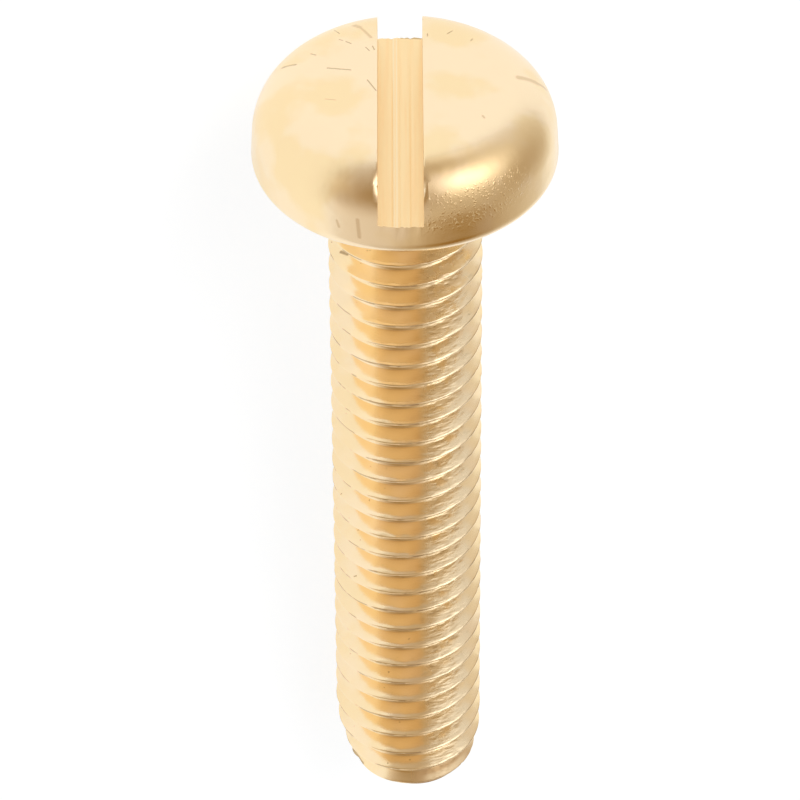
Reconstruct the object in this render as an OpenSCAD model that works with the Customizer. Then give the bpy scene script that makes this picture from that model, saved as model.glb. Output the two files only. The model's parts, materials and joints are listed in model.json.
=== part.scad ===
// Slotted pan head machine screw in brass with a 10-32 thread, one inch long.
// It is one solid, and it lies at rest on the rim of its head and on the crests near its point.
// Millimetres, +Z up. The head looks towards -Y, the point towards +Y.

/* [Head] */
// Diameter of the head at its widest
head_diameter = 9.24; // [8.4:0.02:10.4]
// Height of the head above its bearing face
head_height = 2.86; // [2.5:0.01:3.4]
// Radius of the rounding round the top of the head
top_round = 1.71; // [0.8:0.01:2]
// Radius of the rounding where the side turns under to the bearing face
rim_round = 0.48; // [0.2:0.01:0.8]
// Lean of the head's side towards the axis, in degrees
side_draft = 3.4; // [1:0.1:8]

/* [Slot] */
// Width of the driver slot
slot_width = 1.39; // [0.8:0.01:1.8]
// Depth of the driver slot below the top of the head
slot_depth = 1.72; // [1:0.01:2]
// How far the slot was cut to one side of the head's middle
slot_offset = 0.13; // [0:0.01:0.3]

/* [Thread] */
// Diameter over the crests of the thread
thread_diameter = 4.72; // [4.2:0.02:5.4]
// Distance from one crest to the next: 32 turns to the inch
pitch = 0.794; // [0.6:0.002:1.06]
// Length from the bearing face to the end of the point
length = 24.88; // [12:0.02:38]
// Plain length under the head that the thread leaves free
neck_length = 0.6; // [0.4:0.05:2]
// Radius of the fillet between the neck and the bearing face
neck_fillet = 0.36; // [0.3:0.01:0.45]
// How far below the bearing face a crest crosses the slot's line, in pitches
thread_phase = 3.78; // [3:0.01:4]

/* [Point] */
// Diameter over the crests where the point ends
point_diameter = 3.58; // [2.8:0.02:4]
// Radius of the rounding that takes the crests down to that diameter
point_round = 4.9; // [3:0.1:8]
// Share of the crests' drop at the point that the roots follow
root_follow = 0.55; // [0:0.05:0.6]

/* [Rest] */
// How far the screw has rolled from having its slot upright, in degrees
rest_turn = 35; // [0:1:90]

/* [Hidden] */
$fn = 96;
brass = [0.86, 0.70, 0.42];

// Head: middles of its two roundings, as distance from the axis and height
head_radius = head_diameter / 2;
rim_middle = [head_radius - rim_round, rim_round];
side_normal = [cos(side_draft), sin(side_draft)];
side_reach = rim_middle * side_normal + rim_round;
top_middle_height = head_height - top_round;
top_middle_out = (side_reach - top_round - top_middle_height * side_normal.y) / side_normal.x;
top_middle = [top_middle_out, top_middle_height];

// Thread: a 60 degree form with a narrow flat crest and a wider root, rolled into a neck of the blank's size
crest_radius = thread_diameter / 2;
sharp_height = pitch * cos(30);
thread_depth = 17 / 24 * sharp_height;
root_radius = crest_radius - thread_depth;
neck_radius = crest_radius - 3 / 8 * sharp_height;
crest_half = pitch / 16;
root_start = crest_half + thread_depth * tan(30);
row_offsets = [-crest_half, crest_half, root_start, pitch - root_start];
run_out = pitch;

// Fillet: a hollow rounding that turns from the neck almost into the bearing face and runs on into the head
fillet_steps = 5;
fillet_turn = 75;
fillet_bed = neck_fillet / 4;

function fillet_ring(turn) = [neck_radius + neck_fillet * (1 - cos(turn)), neck_fillet * (sin(turn) - 1)];

fillet_mouth = fillet_ring(fillet_turn);
inner_ring = [fillet_mouth.x + (fillet_bed - fillet_mouth.y) * tan(fillet_turn), fillet_bed];

// Point: the crests follow a rounding, and the flat end is as wide as the root there
point_drop = crest_radius - point_diameter / 2;
end_radius = root_radius - root_follow * point_drop;
point_length = sqrt(2 * point_round * point_drop - pow(point_drop, 2));

// Rest: the floor touches the rim's rounding and the point's rounding, and this is its slope to the axis
touch_run = length - point_length + rim_round;
touch_drop = crest_radius - point_round - rim_middle.x;
lie_angle = asin((rim_round - point_round) / norm([touch_run, touch_drop])) - atan2(touch_drop, touch_run);
lie_height = rim_middle.x * cos(lie_angle) - rim_middle.y * sin(lie_angle) + rim_round;
head_reach = top_middle.y * cos(lie_angle) + top_middle.x * sin(lie_angle) + top_round;
point_reach = length * cos(lie_angle) + end_radius * sin(lie_angle);

// Thread as columns of points round the axis, each column crossing every crest and root
thread_columns = 36;
turns = ceil(length / pitch) + 2;
first_height = -(turns + thread_phase) * pitch;
rows = 4 * (turns + 4);
lowest_row = -length + pitch / 20;
highest_row = -neck_length - pitch / 20;

function row_height(row, column) =
    first_height + floor(row / 4) * pitch + row_offsets[row % 4] + pitch * column / thread_columns;

function run_out_share(height) = max(0, min(1, (-neck_length - height) / run_out));

function crest_drop(height) =
    let (along = max(0, point_length - (height + length)))
    point_round - sqrt(pow(point_round, 2) - pow(along, 2));

function row_radius(row, height) =
    let (drop = crest_drop(height))
    let (full = row % 4 < 2 ? crest_radius - drop : root_radius - root_follow * drop)
    neck_radius + (full - neck_radius) * run_out_share(height);

function around(radius, height, column) =
    let (turn = 360 * column / thread_columns - 90)
    [radius * cos(turn), radius * sin(turn), height];

function running_sums(counts) = [for (i = 0, sum = 0; i < len(counts); sum = sum + counts[i], i = i + 1) sum];

// Half section of the head, from the axis out
module head_outline() {
    polygon([
        [0, 0],
        [rim_middle.x, 0],
        rim_middle + rim_round * side_normal,
        top_middle + top_round * side_normal,
        [top_middle.x, head_height],
        [0, head_height]
    ]);
    translate(rim_middle) circle(rim_round);
    translate(top_middle)
        intersection() {
            circle(top_round);
            square(2 * top_round);
        }
}

module head() {
    difference() {
        rotate_extrude() head_outline();
        translate([-slot_offset - slot_width / 2, -head_diameter, head_height - slot_depth])
            cube([slot_width, 2 * head_diameter, 2 * slot_depth]);
    }
}

// The threaded shank with its rounded point below and its neck running up into the head
module shank() {
    last = thread_columns - 1;
    first_rows = [for (j = [0:last]) min([for (k = [0:rows - 1]) if (row_height(k, j) > lowest_row) k])];
    last_rows = [for (j = [0:last]) max([for (k = [0:rows - 1]) if (row_height(k, j) < highest_row) k])];
    starts = running_sums([for (j = [0:last]) last_rows[j] - first_rows[j] + 1]);

    rings = [
        [end_radius, -length],
        [neck_radius, -neck_length],
        each [for (step = [0:fillet_steps]) fillet_ring(fillet_turn * step / fillet_steps)],
        inner_ring
    ];
    last_ring = len(rings) - 1;
    ring_points = [for (ring = rings, j = [0:last]) around(ring[0], ring[1], j)];
    thread_points = [
        for (j = [0:last], k = [first_rows[j]:last_rows[j]])
            let (height = row_height(k, j))
            around(row_radius(k, height), height, j)
    ];

    // One turn on, column 0 is met again four rows higher up
    function lap(j) = j > last ? 4 : 0;
    function first_row(j) = first_rows[j % thread_columns] - lap(j);
    function last_row(j) = last_rows[j % thread_columns] - lap(j);
    function on_ring(ring, j) = ring * thread_columns + j % thread_columns;
    function on_row(k, j) = len(ring_points) + starts[j % thread_columns] + k - first_row(j);

    thread_faces = [
        for (j = [0:last], k = [first_row(j):last_row(j + 1) - 1])
            each [
                [on_row(k, j), on_row(k + 1, j), on_row(k + 1, j + 1)],
                [on_row(k, j), on_row(k + 1, j + 1), on_row(k, j + 1)]
            ]
    ];
    point_faces = [
        for (j = [0:last])
            each concat(
                [[on_ring(0, j), on_row(first_row(j), j), on_row(first_row(j), j + 1)]],
                [
                    for (k = [first_row(j):-1:first_row(j + 1) + 1])
                        [on_ring(0, j), on_row(k, j + 1), on_row(k - 1, j + 1)]
                ],
                [[on_ring(0, j), on_row(first_row(j + 1), j + 1), on_ring(0, j + 1)]]
            )
    ];
    run_out_faces = [
        for (j = [0:last])
            each concat(
                [[on_ring(1, j + 1), on_row(last_row(j + 1), j + 1), on_row(last_row(j + 1), j)]],
                [
                    for (k = [last_row(j + 1):1:last_row(j) - 1])
                        [on_ring(1, j + 1), on_row(k, j), on_row(k + 1, j)]
                ],
                [[on_ring(1, j + 1), on_row(last_row(j), j), on_ring(1, j)]]
            )
    ];
    neck_faces = [
        for (ring = [1:last_ring - 1], j = [0:last])
            [on_ring(ring, j), on_ring(ring + 1, j), on_ring(ring + 1, j + 1), on_ring(ring, j + 1)]
    ];
    end_faces = [
        [for (j = [0:last]) on_ring(0, j)],
        [for (j = [last:-1:0]) on_ring(last_ring, j)]
    ];

    polyhedron(
        points = concat(ring_points, thread_points),
        faces = concat(thread_faces, point_faces, run_out_faces, neck_faces, end_faces),
        convexity = 12
    );
}

// The whole screw, turned from its own axis to the way it lies
module screw() {
    color(brass)
        translate([0, (head_reach - point_reach) / 2, lie_height])
            rotate([lie_angle - 90, 0, 180])
                rotate(-rest_turn) {
                    head();
                    shank();
                }
}

screw();
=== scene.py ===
import json
from math import atan2, cos, exp, pi, radians, sin, sqrt, tan

import bmesh
import bpy
from mathutils import Matrix, Vector, noise


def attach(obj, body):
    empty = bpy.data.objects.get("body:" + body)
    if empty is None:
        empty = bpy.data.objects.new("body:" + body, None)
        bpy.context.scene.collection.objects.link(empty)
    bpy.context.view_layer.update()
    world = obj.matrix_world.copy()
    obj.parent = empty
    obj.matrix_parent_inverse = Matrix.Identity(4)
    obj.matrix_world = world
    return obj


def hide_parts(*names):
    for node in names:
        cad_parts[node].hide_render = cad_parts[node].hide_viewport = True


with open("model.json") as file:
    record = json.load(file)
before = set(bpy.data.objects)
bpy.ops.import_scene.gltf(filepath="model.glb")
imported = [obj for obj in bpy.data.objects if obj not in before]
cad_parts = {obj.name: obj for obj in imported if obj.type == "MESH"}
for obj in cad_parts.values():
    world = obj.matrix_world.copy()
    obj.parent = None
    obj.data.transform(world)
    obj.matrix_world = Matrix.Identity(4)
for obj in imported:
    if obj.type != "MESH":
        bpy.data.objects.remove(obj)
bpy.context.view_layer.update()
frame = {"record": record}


# How the screw lies: on the rim of its head and on the crests near its point, rolled a little round its axis.
# It is drawn upright in its own millimetres, with its bearing face at height 0, its slot along Y and its
# front at -Y. The thread's mount gives the axis along which it is then laid down.
length = 24.88
millimetre = 0.001
rest_turn = radians(-35)
thread_mount = next(m for m in frame["record"]["mounts"] if m["name"] == "thread")
point_way = Vector(thread_mount["axis"]).normalized()
bearing_middle = Vector(thread_mount["pos_m"]) - point_way * (length / 2 * millimetre)
across_way = Vector((-1, 0, 0))
axes = Matrix((across_way, (-point_way).cross(across_way), -point_way)).transposed().to_4x4()
laid_along = Matrix.Translation(bearing_middle) @ axes
lay_down = laid_along @ Matrix.Rotation(rest_turn, 4, "Z") @ Matrix.Scale(millimetre, 4)


# The head: upset cold from the end of a brass wire, so head, neck and thread are one piece of metal and one
# mesh. Its half section is spun round the axis. It is burnished, marked from use, and grained on one side of
# its front.
head_radius = 4.62
head_height = 2.86
top_round = 1.71
rim_round = 0.48
side_draft = radians(3.4)
neck_radius = 2.102
neck_fillet = 0.36
neck_end = -0.4
bearing_rings = (3.7, 3.2, 2.8)
head_steps = 192
merge_gap = 0.0005
skin_relief = 0.014 * millimetre
BURNISHED = 0


def arc(middle, radius, start, end, steps):
    """Points (distance from the axis, height) of an arc whose angles run up from the outward direction."""
    angles = [start + (end - start) * i / steps for i in range(steps + 1)]
    return [(middle[0] + radius * cos(a), middle[1] + radius * sin(a)) for a in angles]


rim_middle = (head_radius - rim_round, rim_round)
side_reach = rim_middle[0] * cos(side_draft) + rim_middle[1] * sin(side_draft) + rim_round
top_height = head_height - top_round
top_middle = ((side_reach - top_round - top_height * sin(side_draft)) / cos(side_draft), top_height)
fillet_middle = (neck_radius + neck_fillet, -neck_fillet)

head_outline = [(top_middle[0] * i / 6, head_height) for i in range(6)]
head_outline += arc(top_middle, top_round, pi / 2, side_draft, 28)
head_outline += arc(rim_middle, rim_round, side_draft, -pi / 2, 12)
head_outline += [(across, 0.0) for across in bearing_rings]
head_outline += arc(fillet_middle, neck_fillet, pi / 2, pi, 6)
head_outline += [(neck_radius, neck_end)]

screw_mesh = bmesh.new()
outline_points = [screw_mesh.verts.new((across, 0.0, up)) for across, up in head_outline]
outline_edges = [screw_mesh.edges.new(pair) for pair in zip(outline_points, outline_points[1:])]
bmesh.ops.spin(
    screw_mesh, geom=outline_points + outline_edges, cent=(0, 0, 0), axis=(0, 0, 1), dvec=(0, 0, 0),
    angle=2 * pi, steps=head_steps, use_merge=True)
bmesh.ops.remove_doubles(screw_mesh, verts=screw_mesh.verts, dist=merge_gap)


def wire(tree, kind, inputs, **settings):
    """A shader node of this kind, with its settings, and its inputs given as values or as sockets to link."""
    node = tree.nodes.new("ShaderNode" + kind)
    for name, value in settings.items():
        setattr(node, name, value)
    for key, value in inputs.items():
        if isinstance(value, bpy.types.NodeSocket):
            tree.links.new(value, node.inputs[key])
        else:
            node.inputs[key].default_value = value
    return node


def math(tree, operation, first, second=0.0):
    """The result of a Math node."""
    return wire(tree, "Math", {0: first, 1: second}, operation=operation).outputs[0]


def fade(tree, value, start, end):
    """0 where the value is at its start, 1 where it is at its end, smooth between them."""
    inputs = {"Value": value, "From Min": start, "From Max": end}
    return wire(tree, "MapRange", inputs, interpolation_type="SMOOTHSTEP").outputs["Result"]


def blend(tree, share, first, second):
    """A colour between two colours."""
    inputs = {"Factor": share, 6: first, 7: second}
    return wire(tree, "Mix", inputs, data_type="RGBA").outputs[2]


def grain(tree, place, scale, detail):
    """The value of a noise pattern, with the scale in turns to the millimetre."""
    inputs = {"Vector": place, "Scale": scale, "Detail": detail}
    return wire(tree, "TexNoise", inputs).outputs["Fac"]


def new_brass(name):
    """A metal material, its shader, and the screw's own millimetres for its patterns."""
    material = bpy.data.materials.new(name)
    material.use_nodes = True
    tree = material.node_tree
    shader = tree.nodes["Principled BSDF"]
    shader.inputs["Metallic"].default_value = 1.0
    upright = lay_down.inverted()
    inputs = {
        "Vector": wire(tree, "TexCoord", {}).outputs["Object"],
        "Location": upright.translation,
        "Rotation": upright.to_euler(),
        "Scale": (1 / millimetre,) * 3,
    }
    return material, tree, shader, wire(tree, "Mapping", inputs).outputs["Vector"]


def scored(tree, place, marks):
    """1 along straight marks and 0 beside them. A mark is its two ends and its half width."""
    shares = []
    for start, end, half_width in marks:
        along = Vector(end) - Vector(start)
        offset = wire(tree, "VectorMath", {0: place, 1: start}, operation="SUBTRACT").outputs[0]
        run = wire(tree, "VectorMath", {0: offset, 1: along / along.length_squared}, operation="DOT_PRODUCT")
        run = wire(tree, "Clamp", {"Value": run.outputs["Value"]}).outputs[0]
        nearest = wire(tree, "VectorMath", {0: along, "Scale": run}, operation="SCALE").outputs[0]
        gap = wire(tree, "VectorMath", {0: offset, 1: nearest}, operation="DISTANCE").outputs["Value"]
        shares.append(fade(tree, gap, half_width, 0.3 * half_width))
    while len(shares) > 1:
        shares.append(math(tree, "MAXIMUM", shares.pop(), shares.pop()))
    return shares[0]


def on_side(tree, place, bearing, start, end):
    """1 on the screw's side at a bearing from its front, fading out between two angles from there."""
    around = wire(tree, "VectorMath", {0: place, 1: (1, 1, 0)}, operation="MULTIPLY").outputs[0]
    around = wire(tree, "VectorMath", {0: around}, operation="NORMALIZE").outputs[0]
    towards = (sin(radians(bearing)), -cos(radians(bearing)), 0)
    facing = wire(tree, "VectorMath", {0: around, 1: towards}, operation="DOT_PRODUCT").outputs["Value"]
    return fade(tree, facing, cos(radians(end)), cos(radians(start)))


scratches = (
    ((-3.65, 1.3, 2.53), (-3.25, 1.15, 2.75), 0.06),
    ((-2.8, 1.6, 2.82), (-2.65, 1.5, 2.85), 0.025),
    ((-2.3, 0.85, 2.86), (-1.6, 0.75, 2.86), 0.028),
    ((-1.95, 2.25, 2.86), (-1.85, 2.2, 2.86), 0.025),
    ((-1.75, 2.15, 2.86), (-1.6, 2.05, 2.86), 0.025),
    ((-2.1, 2.9, 2.7), (-1.95, 2.6, 2.82), 0.025),
    ((-1.15, 1.85, 2.86), (-1.05, 1.7, 2.86), 0.025),
    ((-0.95, 1.9, 2.86), (-0.9, 1.75, 2.86), 0.035),
    ((-1.1, 0.25, 2.86), (-0.85, -0.25, 2.86), 0.035),
    ((1.3, 2.5, 2.86), (1.45, 2.65, 2.85), 0.025),
    ((2.0, 2.15, 2.86), (2.05, 2.25, 2.85), 0.025),
    ((0.7, 2.4, 2.86), (0.7, 2.5, 2.86), 0.03),
    ((-0.85, 3.5, 2.61), (-0.84, 4.0, 2.2), 0.03),
)
faint_marks = (
    ((-1.5, 3.05, 2.78), (-1.35, 2.9, 2.82), 0.12),
    ((-1.35, 2.9, 2.82), (-1.0, 2.35, 2.86), 0.07),
    ((-2.35, -0.65, 2.86), (-2.05, -0.7, 2.86), 0.025),
    ((3.4, 0.45, 2.76), (3.95, 0.6, 2.43), 0.14),
    ((3.95, 0.6, 2.43), (4.25, 0.75, 2.09), 0.1),
    ((2.3, -1.5, 2.86), (2.35, -1.6, 2.86), 0.05),
    ((-1.4, -4.35, 1.25), (-1.35, -4.4, 0.65), 0.09),
    ((-2.0, -4.1, 1.05), (-1.95, -4.15, 0.85), 0.07),
)
burnished_brass, tree, shader, place = new_brass("burnished_brass")
straw = (1.0, 0.805, 0.54, 1)
yellow = (0.98, 0.765, 0.45, 1)
brown = (0.45, 0.31, 0.14, 1)
buff = (0.68, 0.48, 0.27, 1)
clouds = fade(tree, grain(tree, place, 0.45, 3.0), 0.44, 0.58)
scratched = scored(tree, place, scratches)
marked = scored(tree, place, faint_marks)
colour = blend(tree, clouds, straw, yellow)
colour = blend(tree, math(tree, "MULTIPLY", marked, 0.6), colour, buff)
colour = blend(tree, math(tree, "MULTIPLY", scratched, 0.6), colour, brown)
tree.links.new(colour, shader.inputs["Base Color"])
up_the_head = wire(tree, "SeparateXYZ", {0: place}).outputs["Z"]
grained = math(tree, "MULTIPLY", on_side(tree, place, 30, 12, 30), fade(tree, up_the_head, 2.2, 1.85))
grained = math(tree, "MULTIPLY", grained, fade(tree, up_the_head, 0.7, 1.2))
grains = math(tree, "MULTIPLY", grained, fade(tree, grain(tree, place, 11.0, 1.0), 0.52, 0.8))
height = math(tree, "MULTIPLY_ADD", grains, 0.8)
tree.links.new(grain(tree, place, 1.1, 2.0), height.node.inputs[2])
height = math(tree, "SUBTRACT", height, math(tree, "MULTIPLY", scratched, 0.5))
bump = wire(tree, "Bump", {"Height": height, "Distance": skin_relief})
tree.links.new(bump.outputs["Normal"], shader.inputs["Normal"])
roughness = math(tree, "MULTIPLY_ADD", grain(tree, place, 2.2, 4.0), 0.1)
roughness.node.inputs[2].default_value = 0.19
tree.links.new(roughness, shader.inputs["Roughness"])


# The driver slot: sawn straight across the head a little to one side of its middle, with square walls and a
# flat floor. The head is cut along the slot's planes and what lies between them goes. The saw left lines and
# ragged ends on the floor, and both edges are worn, with a chip near the front.
slot_width = 1.36
slot_depth = 1.72
slot_offset = 0.13
slot_left = -slot_offset - slot_width / 2
slot_right = slot_left + slot_width
slot_floor = head_height - slot_depth
edge_wear = 0.05
saw_lines = 30
saw_relief = 0.004 * millimetre
# A score is its place across the slot, its width and its depth
saw_scores = (
    (-0.4, 0.025, 0.014),
    (-0.33, 0.025, -0.008),
    (-0.24, 0.025, -0.006),
    (-0.18, 0.025, 0.008),
    (0.19, 0.03, 0.008),
)
# A chip is its edge, the way out from the slot, its width, its two ends along the slot and its depth
chips = (
    (slot_left, -1, 0.13, -4.4, -3.7, 0.06),
    (slot_right, 1, 0.11, -4.45, -3.75, 0.04),
)
SAWN = 1


def with_edges(faces):
    """Faces together with all their points and edges."""
    points = {v for f in faces for v in f.verts}
    edges = {e for f in faces for e in f.edges}
    return [*points, *edges, *faces]


def cut_across(faces, place, normal):
    """Cuts faces along a plane, keeping both sides."""
    bmesh.ops.bisect_plane(
        screw_mesh, geom=with_edges(faces), plane_co=place, plane_no=normal, dist=1e-5)


def between_walls():
    """The faces that lie between the slot's two walls."""
    return [f for f in screw_mesh.faces if slot_left < f.calc_center_median().x < slot_right]


for edge, way, chip_width, *_ in chips:
    for across in (0.0, edge_wear, chip_width):
        cut_across(screw_mesh.faces[:], (edge + way * across, 0, 0), (1, 0, 0))
cut_across(between_walls(), (0, 0, slot_floor), (0, 0, 1))
sawn_away = [f for f in between_walls() if f.calc_center_median().z > slot_floor]
bmesh.ops.delete(screw_mesh, geom=sawn_away, context="FACES")

slot_rim = [e for e in screw_mesh.edges if e.is_boundary and min(v.co.z for v in e.verts) > 0.5]
walls = []
floor_lines = []
for across in (slot_left, slot_right):
    wall_edges = [e for e in slot_rim if all(abs(v.co.x - across) < 1e-4 for v in e.verts)]
    wall_points = {v for e in wall_edges for v in e.verts}
    front = min(wall_points, key=lambda v: v.co.y)
    back = max(wall_points, key=lambda v: v.co.y)
    floor_line = screw_mesh.edges.new((front, back))
    walls += bmesh.ops.edgeloop_fill(screw_mesh, edges=wall_edges + [floor_line])["faces"]
    floor_lines.append(floor_line)
floor_edges = [e for e in slot_rim if all(abs(v.co.z - slot_floor) < 1e-4 for v in e.verts)]
slot_bed = bmesh.ops.edgeloop_fill(screw_mesh, edges=floor_edges + floor_lines)["faces"]
for face in walls + slot_bed:
    face.material_index = SAWN


def slot_floor_faces():
    """The faces of the slot's floor."""
    sawn = [f for f in screw_mesh.faces if f.material_index == SAWN]
    return [f for f in sawn if f.calc_center_median().z < slot_floor + 0.1]


for line in range(1, saw_lines):
    cut_across(slot_floor_faces(), (slot_left + slot_width * line / saw_lines, 0, 0), (1, 0, 0))
for v in {v for f in slot_floor_faces() for v in f.verts}:
    if slot_left + 0.01 < v.co.x < slot_right - 0.01:
        v.co.z += 0.004 * noise.noise((3.3 * v.co.x, 0.0, 2.0))
        v.co.z -= sum(depth * exp(-((v.co.x - middle) / width) ** 2) for middle, width, depth in saw_scores)
        v.co.y *= 1 + 0.014 * noise.noise((9.0 * v.co.x, v.co.y, 5.0))

for v in screw_mesh.verts:
    if v.co.z < slot_floor + 0.05:
        continue
    for edge, way, chip_width, chip_start, chip_end, chip_depth in chips:
        from_edge = way * (v.co.x - edge)
        if -1e-4 < from_edge < 1e-4:
            v.co.z -= 0.014 * (0.6 + noise.noise((v.co.x, 3.1 * v.co.y, 4.0)))
        if -1e-4 < from_edge < chip_width and chip_start < v.co.y < chip_end:
            hollow = sin(pi * (v.co.y - chip_start) / (chip_end - chip_start))
            hollow *= 1 + 1.2 * noise.noise((2.0, 8.3 * v.co.y, 1.0))
            v.co -= Vector((0.0, -0.8, 0.6)) * chip_depth * hollow * (1 - from_edge / chip_width)

sawn_brass, tree, shader, place = new_brass("sawn_brass")
cream = (1.0, 0.76, 0.425, 1)
orange = (1.0, 0.72, 0.38, 1)
pale = (1.0, 0.83, 0.56, 1)
along_slot = wire(tree, "VectorMath", {0: place, 1: (7.0, 0.2, 7.0)}, operation="MULTIPLY").outputs[0]
streaks = grain(tree, along_slot, 1.0, 2.0)
colour = blend(tree, fade(tree, streaks, 0.3, 0.6), orange, cream)
across_slot = wire(tree, "SeparateXYZ", {0: place}).outputs["X"]
for middle, width, depth in saw_scores:
    from_score = math(tree, "ABSOLUTE", math(tree, "SUBTRACT", across_slot, middle))
    score = fade(tree, from_score, 1.4 * width, 0.3 * width)
    colour = blend(tree, math(tree, "MULTIPLY", score, 0.7), colour, orange if depth > 0 else pale)
# A dark brown line painted along the back end of the slot's floor: a painted shadow of the burrs there.
painted_shadow_at_slot_end = scored(tree, place, (((-0.1, 4.58, slot_floor), (0.5, 4.53, slot_floor), 0.06),))
colour = blend(tree, math(tree, "MULTIPLY", painted_shadow_at_slot_end, 0.7), colour, brown)
tree.links.new(colour, shader.inputs["Base Color"])
shader.inputs["Roughness"].default_value = 0.32
bump = wire(tree, "Bump", {"Height": streaks, "Distance": saw_relief})
tree.links.new(bump.outputs["Normal"], shader.inputs["Normal"])


# The thread: rolled right-handed into the shank from the neck to the point, 32 turns to the inch. One turn is
# swept along its helix and repeated, trimmed, joined to the neck, and rounded to a point that leans a little.
# Its crests have nicks, a scuffed side and a burr on the last one, a broken dark line of painted shade, and a
# painted glint on the scuffed side.
pitch = 0.794
crest_radius = 2.36
thread_depth = 0.65 * pitch
root_radius = crest_radius - thread_depth
neck_length = 0.6
end_radius = 1.75
point_drop = crest_radius - end_radius
point_round = 4.9
root_follow = 0.55
point_lean = Vector((0.18, -0.25, 0.0))
burr_bearing = radians(-87)
burr_width = radians(15)
burr_height = 0.5
burr_reach = 0.15
rub_bearing = radians(32)
rub_width = radians(30)
rub_reach = 0.14
rub_depth = 0.03
worn_bearing = 37
nick_depth = 0.05
crest_wear = 0.012
crest_waver = 0.014
tear_relief = 0.02 * millimetre
turn_steps = 140
sharp_edge = radians(50)
crest_at_front = -2.998
ROLLED = 2

crest_round = 0.05
flank = radians(26.5)
roundings = (pitch / 2 - thread_depth * tan(flank)) / (cos(flank) - (1 - sin(flank)) * tan(flank))
root_round = roundings - crest_round
crest_middle = (crest_radius - crest_round, 0.0)
root_middle = (root_radius + root_round, pitch / 2)


def half_thread(crest_steps, root_steps):
    """Half of the thread's outline, from the middle of its crest up to the middle of its root."""
    crest = arc(crest_middle, crest_round, 0.0, pi / 2 - flank, crest_steps)
    root = arc(root_middle, root_round, -pi / 2 - flank, -pi, root_steps)
    down_the_flank = [((3 * crest[-1][i] + root[0][i]) / 4) for i in (0, 1)]
    return crest + [down_the_flank] + root


# The half that faces the head has more points, because its reflections show
thread_outline = [(r, -up) for r, up in reversed(half_thread(3, 2)[1:])] + half_thread(6, 3)

# Enough turns to pass the point below and the neck above, where they are trimmed
turns = int(length / pitch) + 5
first_height = crest_at_front - pitch * (turns - 4)
turn_points = [screw_mesh.verts.new((0.0, -r, first_height + up)) for r, up in thread_outline]
turn_edges = [screw_mesh.edges.new(pair) for pair in zip(turn_points, turn_points[1:])]
older = set(screw_mesh.faces)
bmesh.ops.spin(
    screw_mesh, geom=turn_points + turn_edges, cent=(0, 0, 0), axis=(0, 0, 1),
    dvec=(0, 0, pitch / turn_steps), angle=2 * pi, steps=turn_steps)
one_turn = [f for f in screw_mesh.faces if f not in older]
thread_faces = list(one_turn)
for turn in range(1, turns):
    copied = bmesh.ops.duplicate(screw_mesh, geom=one_turn)["geom"]
    copied_points = [g for g in copied if isinstance(g, bmesh.types.BMVert)]
    bmesh.ops.translate(screw_mesh, verts=copied_points, vec=(0, 0, turn * pitch))
    thread_faces += [g for g in copied if isinstance(g, bmesh.types.BMFace)]
for face in thread_faces:
    face.material_index = ROLLED


def thread_geometry():
    """All points, edges and faces of the thread."""
    return with_edges([f for f in screw_mesh.faces if f.material_index == ROLLED])


thread_points = [g for g in thread_geometry() if isinstance(g, bmesh.types.BMVert)]
bmesh.ops.remove_doubles(screw_mesh, verts=thread_points, dist=merge_gap)
bmesh.ops.bisect_plane(
    screw_mesh, geom=thread_geometry(), plane_co=(0, 0, -length), plane_no=(0, 0, 1),
    dist=1e-5, clear_inner=True)
bmesh.ops.bisect_plane(
    screw_mesh, geom=thread_geometry(), plane_co=(0, 0, -neck_length), plane_no=(0, 0, 1),
    dist=1e-5, clear_outer=True)

point_length = sqrt(2 * point_round * point_drop - point_drop ** 2)
for v in {v for f in screw_mesh.faces if f.material_index == ROLLED for v in f.verts}:
    radius = v.co.xy.length
    crest_share = (radius - root_radius) / thread_depth
    run_out = min(1.0, (-neck_length - v.co.z) / pitch)
    along_point = max(0.0, point_length - (v.co.z + length))
    drop = point_round - sqrt(point_round ** 2 - along_point ** 2)
    shaped = radius - drop * (root_follow + (1 - root_follow) * crest_share)
    shaped = neck_radius + (shaped - neck_radius) * run_out
    on_crest = max(0.0, crest_share - 0.8) / 0.2 * run_out
    bearing = atan2(v.co.x, -v.co.y)
    turns_up = (v.co.z - crest_at_front) / pitch - bearing / (2 * pi)
    above_crest = (turns_up - round(turns_up)) * pitch
    nicks = noise.noise(5.0 * v.co + Vector((7, 3, 1)))
    shaped -= on_crest * (crest_wear * max(0.0, noise.noise(6.0 * v.co)) + nick_depth * max(0.0, nicks - 0.4))
    if 0 < above_crest < rub_reach:
        rub = max(0.0, 1 - ((bearing - rub_bearing) / rub_width) ** 2)
        rub *= 0.85 + 0.5 * noise.noise(1.7 * v.co)
        shaped -= on_crest * rub * rub_depth * sin(pi * above_crest / rub_reach)
    if v.co.z < burr_height - length:
        shaped += burr_reach * on_crest * max(0.0, 1 - ((bearing - burr_bearing) / burr_width) ** 2)
    lift = crest_waver * on_crest * noise.noise(3.4 * v.co + Vector((2, 9, 4)))
    v.co.xy *= shaped / radius
    v.co += point_lean * along_point / point_length
    if -length + pitch < v.co.z < -neck_length - pitch:
        v.co.z += lift


def open_edges(low, high):
    """Edges of an open rim that lies between two heights."""
    return [e for e in screw_mesh.edges if e.is_boundary and all(low < v.co.z < high for v in e.verts)]


neck_faces = bmesh.ops.bridge_loops(screw_mesh, edges=open_edges(-1.0, 0.0))["faces"]
point_faces = bmesh.ops.edgeloop_fill(screw_mesh, edges=open_edges(-length - 1, -length + 1))["faces"]
for face in neck_faces:
    face.material_index = ROLLED
for face in point_faces:
    face.material_index = BURNISHED
bmesh.ops.recalc_face_normals(screw_mesh, faces=screw_mesh.faces)

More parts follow.
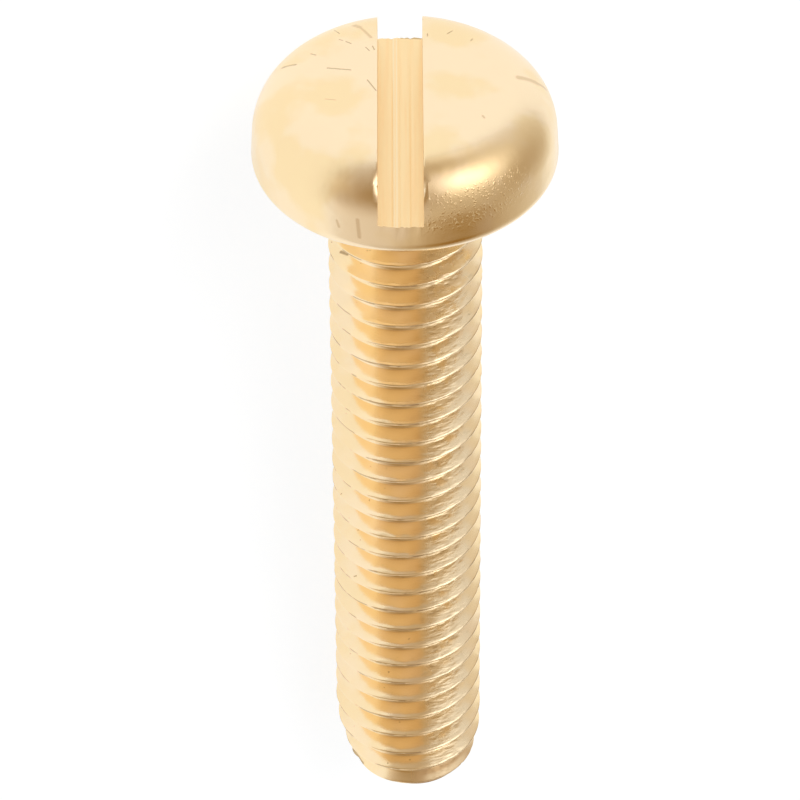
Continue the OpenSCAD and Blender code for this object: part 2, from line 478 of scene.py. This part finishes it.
rolled_brass, tree, shader, place = new_brass("rolled_brass")
gold = (0.99, 0.775, 0.465, 1)
rubbed = (1.0, 0.80, 0.53, 1)
scuffed = (0.93, 0.785, 0.545, 1)
# A pale cream for the crests of the scuffed side: rubbed metal, and a painted glint of the lamp.
glint_and_burnish = (1.0, 0.87, 0.63, 1)
# Dark brown, used for the painted shade along the crests and under the burr, and for a nick.
shade_and_nick_brown = (0.3, 0.18, 0.07, 1)
clouds = fade(tree, grain(tree, place, 0.8, 3.0), 0.4, 0.65)
colour = blend(tree, clouds, gold, rubbed)
own = wire(tree, "SeparateXYZ", {0: place}).outputs
torn_patches = fade(tree, grain(tree, place, 2.5, 2.0), 0.3, 0.5)
torn = math(tree, "MULTIPLY", on_side(tree, place, worn_bearing, 14, 29), torn_patches)
colour = blend(tree, torn, colour, scuffed)
near_end = fade(tree, own["Z"], 1.0 - length, 0.7 - length)
dull_end = math(tree, "MULTIPLY", on_side(tree, place, worn_bearing, 20, 40), near_end)
colour = blend(tree, math(tree, "MULTIPLY", dull_end, 0.8), colour, buff)
pits = fade(tree, grain(tree, place, 5.5, 1.0), 0.77, 0.81)
colour = blend(tree, math(tree, "MULTIPLY", pits, 0.6), colour, brown)
bearing = math(tree, "ARCTAN2", own["X"], math(tree, "MULTIPLY", own["Y"], -1.0))
turns_up = math(tree, "MULTIPLY", math(tree, "SUBTRACT", own["Z"], crest_at_front), 1 / pitch)
turns_up = math(tree, "SUBTRACT", turns_up, math(tree, "MULTIPLY", bearing, 0.5 / pi))
from_crest = math(tree, "ABSOLUTE", math(tree, "SUBTRACT", turns_up, math(tree, "ROUND", turns_up)))
# A broken dark line painted along the crests: painted shade, standing for the dark reflection in the crests'
# rounding.
painted_crest_shade = fade(tree, from_crest, 0.045, 0.02)
painted_crest_shade = math(tree, "MULTIPLY", painted_crest_shade, fade(tree, grain(tree, place, 1.1, 3.0), 0.5, 0.58))
colour = blend(tree, math(tree, "MULTIPLY", painted_crest_shade, 0.5), colour, shade_and_nick_brown)
# Two dark marks: by the burr at the point, a painted shadow under the last crest; near the neck, a dark nick.
nick_and_shadow_marks = (
    ((-1.82, -0.45, -24.62), (-1.5, -1.15, -24.55), 0.09),
    ((-1.96, -0.7, -2.98), (-1.75, -0.9, -2.92), 0.08),
)
colour = blend(tree, math(tree, "MULTIPLY", scored(tree, place, nick_and_shadow_marks), 0.7), colour, shade_and_nick_brown)
round_the_axis = wire(tree, "VectorMath", {0: place, 1: (2.5, 2.5, 16.0)}, operation="MULTIPLY").outputs[0]
hatching = grain(tree, round_the_axis, 1.0, 2.0)
# Dark brown streaks along the hatching on the scuffed side: partly scuff lines, partly painted shade for the
# shadows under the crests.
scuff_lines_and_shade = math(tree, "MULTIPLY", torn, fade(tree, hatching, 0.46, 0.3))
colour = blend(tree, math(tree, "MULTIPLY", scuff_lines_and_shade, 0.5), colour, brown)
# The crests on the scuffed side painted paler: partly rubbed metal, partly a painted glint of the lamp.
near_crest = fade(tree, from_crest, 0.24, 0.14)
crest_glint_and_rub = math(tree, "MULTIPLY", on_side(tree, place, worn_bearing, 12, 28), near_crest)
colour = blend(tree, math(tree, "MULTIPLY", crest_glint_and_rub, 0.8), colour, glint_and_burnish)
tree.links.new(colour, shader.inputs["Base Color"])
torn_height = math(tree, "MULTIPLY", math(tree, "SUBTRACT", hatching, 0.5), torn)
bump = wire(tree, "Bump", {"Height": torn_height, "Distance": tear_relief})
tree.links.new(bump.outputs["Normal"], shader.inputs["Normal"])
roughness = math(tree, "ADD", math(tree, "MULTIPLY", torn, 0.12), math(tree, "MULTIPLY", dull_end, 0.3))
roughness = math(tree, "ADD", roughness, 0.17)
tree.links.new(roughness, shader.inputs["Roughness"])

bmesh.ops.transform(screw_mesh, matrix=lay_down, verts=screw_mesh.verts)
mesh = bpy.data.meshes.new("brass_screw")
screw_mesh.to_mesh(mesh)
screw_mesh.free()
mesh.set_sharp_from_angle(angle=sharp_edge)
for finish in (burnished_brass, sawn_brass, rolled_brass):
    mesh.materials.append(finish)
screw = bpy.data.objects.new("brass_screw", mesh)
bpy.context.collection.objects.link(screw)
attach(screw, "root")
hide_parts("screw")


# The floor: a sheet of matt white paper under the screw, wide enough to fill every view. It glows white to
# the camera and to the metal; the glow is a painted pool of light, brightest round the screw and dimmer away
# from it, and the paper darkens where the screw shades it.
floor_reach = 2.0
floor_mesh = bmesh.new()
bmesh.ops.create_grid(floor_mesh, x_segments=1, y_segments=1, size=floor_reach)
mesh = bpy.data.meshes.new("paper_floor")
floor_mesh.to_mesh(mesh)
floor_mesh.free()
paper_floor = bpy.data.objects.new("paper_floor", mesh)
bpy.context.collection.objects.link(paper_floor)

paper = bpy.data.materials.new("white_paper")
paper.use_nodes = True
tree = paper.node_tree
tree.nodes.clear()
glow_level = 0.85
glow_colour = (0.9, 0.95, 1.0, 1)
paper_colour = (0.4, 0.4, 0.4, 1)
lit_radius = 0.03
dim_radius = 0.15
dim_share = 0.75
light_path = wire(tree, "LightPath", {}).outputs
seen = math(tree, "MAXIMUM", light_path["Is Camera Ray"], light_path["Is Glossy Ray"])
seen = math(tree, "MAXIMUM", seen, light_path["Is Transmission Ray"])
on_paper = wire(tree, "TexCoord", {}).outputs["Object"]
from_middle = wire(tree, "VectorMath", {0: on_paper}, operation="LENGTH").outputs["Value"]
# A painted pool of light: the glow is full within lit_radius of the screw and falls to dim_share of it past
# dim_radius.
glow_pool = math(tree, "MULTIPLY_ADD", fade(tree, from_middle, dim_radius, lit_radius), 1 - dim_share)
glow_pool.node.inputs[2].default_value = dim_share
glow_strength = math(tree, "MULTIPLY", math(tree, "MULTIPLY", seen, glow_pool), glow_level)
glow = wire(tree, "Emission", {"Color": glow_colour, "Strength": glow_strength})
matt = wire(tree, "BsdfDiffuse", {"Color": paper_colour})
both = wire(tree, "AddShader", {0: matt.outputs[0], 1: glow.outputs[0]})
wire(tree, "OutputMaterial", {"Surface": both.outputs[0]})
mesh.materials.append(paper)


# The light: a white room with a soft lamp to the right of the camera, a wide warm shade in front of the screw
# and smaller lighter and darker patches. A patch is its amount, its sharpness, its bearing round the screw's
# axis from its front and its height towards the head.
room_level = 1.05
lamp_colour = (1.0, 1.0, 1.0)
shade_colour = (0.86, 1.0, 1.15)
light_patches = (
    (1.6, 16.0, 55, 37),
    (-0.66, 1.0, 15, 35),
    (-0.33, 5.5, -35, 18),
    (-0.22, 25.0, 62, 75),
    (0.3, 30.0, 142, 70),
    (0.45, 18.0, -64, 24),
    (0.18, 18.0, -57, -14),
    (0.16, 6.0, -5, -25),
    (-0.2, 3.0, 0, -70),
    (-0.58, 9.0, 40, -50),
    (-0.38, 5.0, 98, -4),
)
world = bpy.data.worlds.new("white_room")
world.use_nodes = True
bpy.context.scene.world = world
tree = world.node_tree
direction = wire(tree, "TexCoord", {}).outputs["Generated"]
room = (room_level, room_level, room_level)
for amount, sharpness, bearing, height in light_patches:
    bearing, height = radians(bearing), radians(height)
    towards = Vector((cos(height) * sin(bearing), -cos(height) * cos(bearing), sin(height)))
    towards = (lay_down.to_3x3() @ towards).normalized()
    facing = wire(tree, "VectorMath", {0: direction, 1: towards}, operation="DOT_PRODUCT").outputs["Value"]
    spread = math(tree, "EXPONENT", math(tree, "MULTIPLY", math(tree, "SUBTRACT", facing, 1.0), sharpness))
    tint = [amount * c for c in (lamp_colour if amount > 0 else shade_colour)]
    patch = wire(tree, "VectorMath", {0: tint, "Scale": spread}, operation="SCALE").outputs[0]
    room = wire(tree, "VectorMath", {0: patch, 1: room}, operation="ADD").outputs[0]
room = wire(tree, "VectorMath", {0: room, 1: (0, 0, 0)}, operation="MAXIMUM").outputs[0]
tree.links.new(room, tree.nodes["Background"].inputs["Color"])


# The camera: looks down on the head along the slot, from the place and with the lens worked out from the
# photograph. Its place and aim are in the screw's own millimetres, and its twist is the picture's lean.
camera_place = Vector((0.0, -122.109, 97.471))
camera_aim = Vector((-0.2, 0.359, -9.904))
camera_twist = radians(-0.405)
camera_data = bpy.data.cameras.new("photograph")
camera_data.lens = 233.47
camera_data.sensor_width = 36.0
camera_data.clip_start = 0.005
camera = bpy.data.objects.new("photograph", camera_data)
bpy.context.collection.objects.link(camera)
ahead = (lay_down @ camera_aim - lay_down @ camera_place).normalized()
level = ahead.cross(-point_way).normalized()
rightwards = level * cos(camera_twist) + level.cross(ahead) * sin(camera_twist)
turned = Matrix((rightwards, rightwards.cross(ahead), -ahead)).transposed().to_4x4()
camera.matrix_world = Matrix.Translation(lay_down @ camera_place) @ turned
bpy.context.scene.camera = camera
bpy.context.scene.view_settings.view_transform = "Standard"
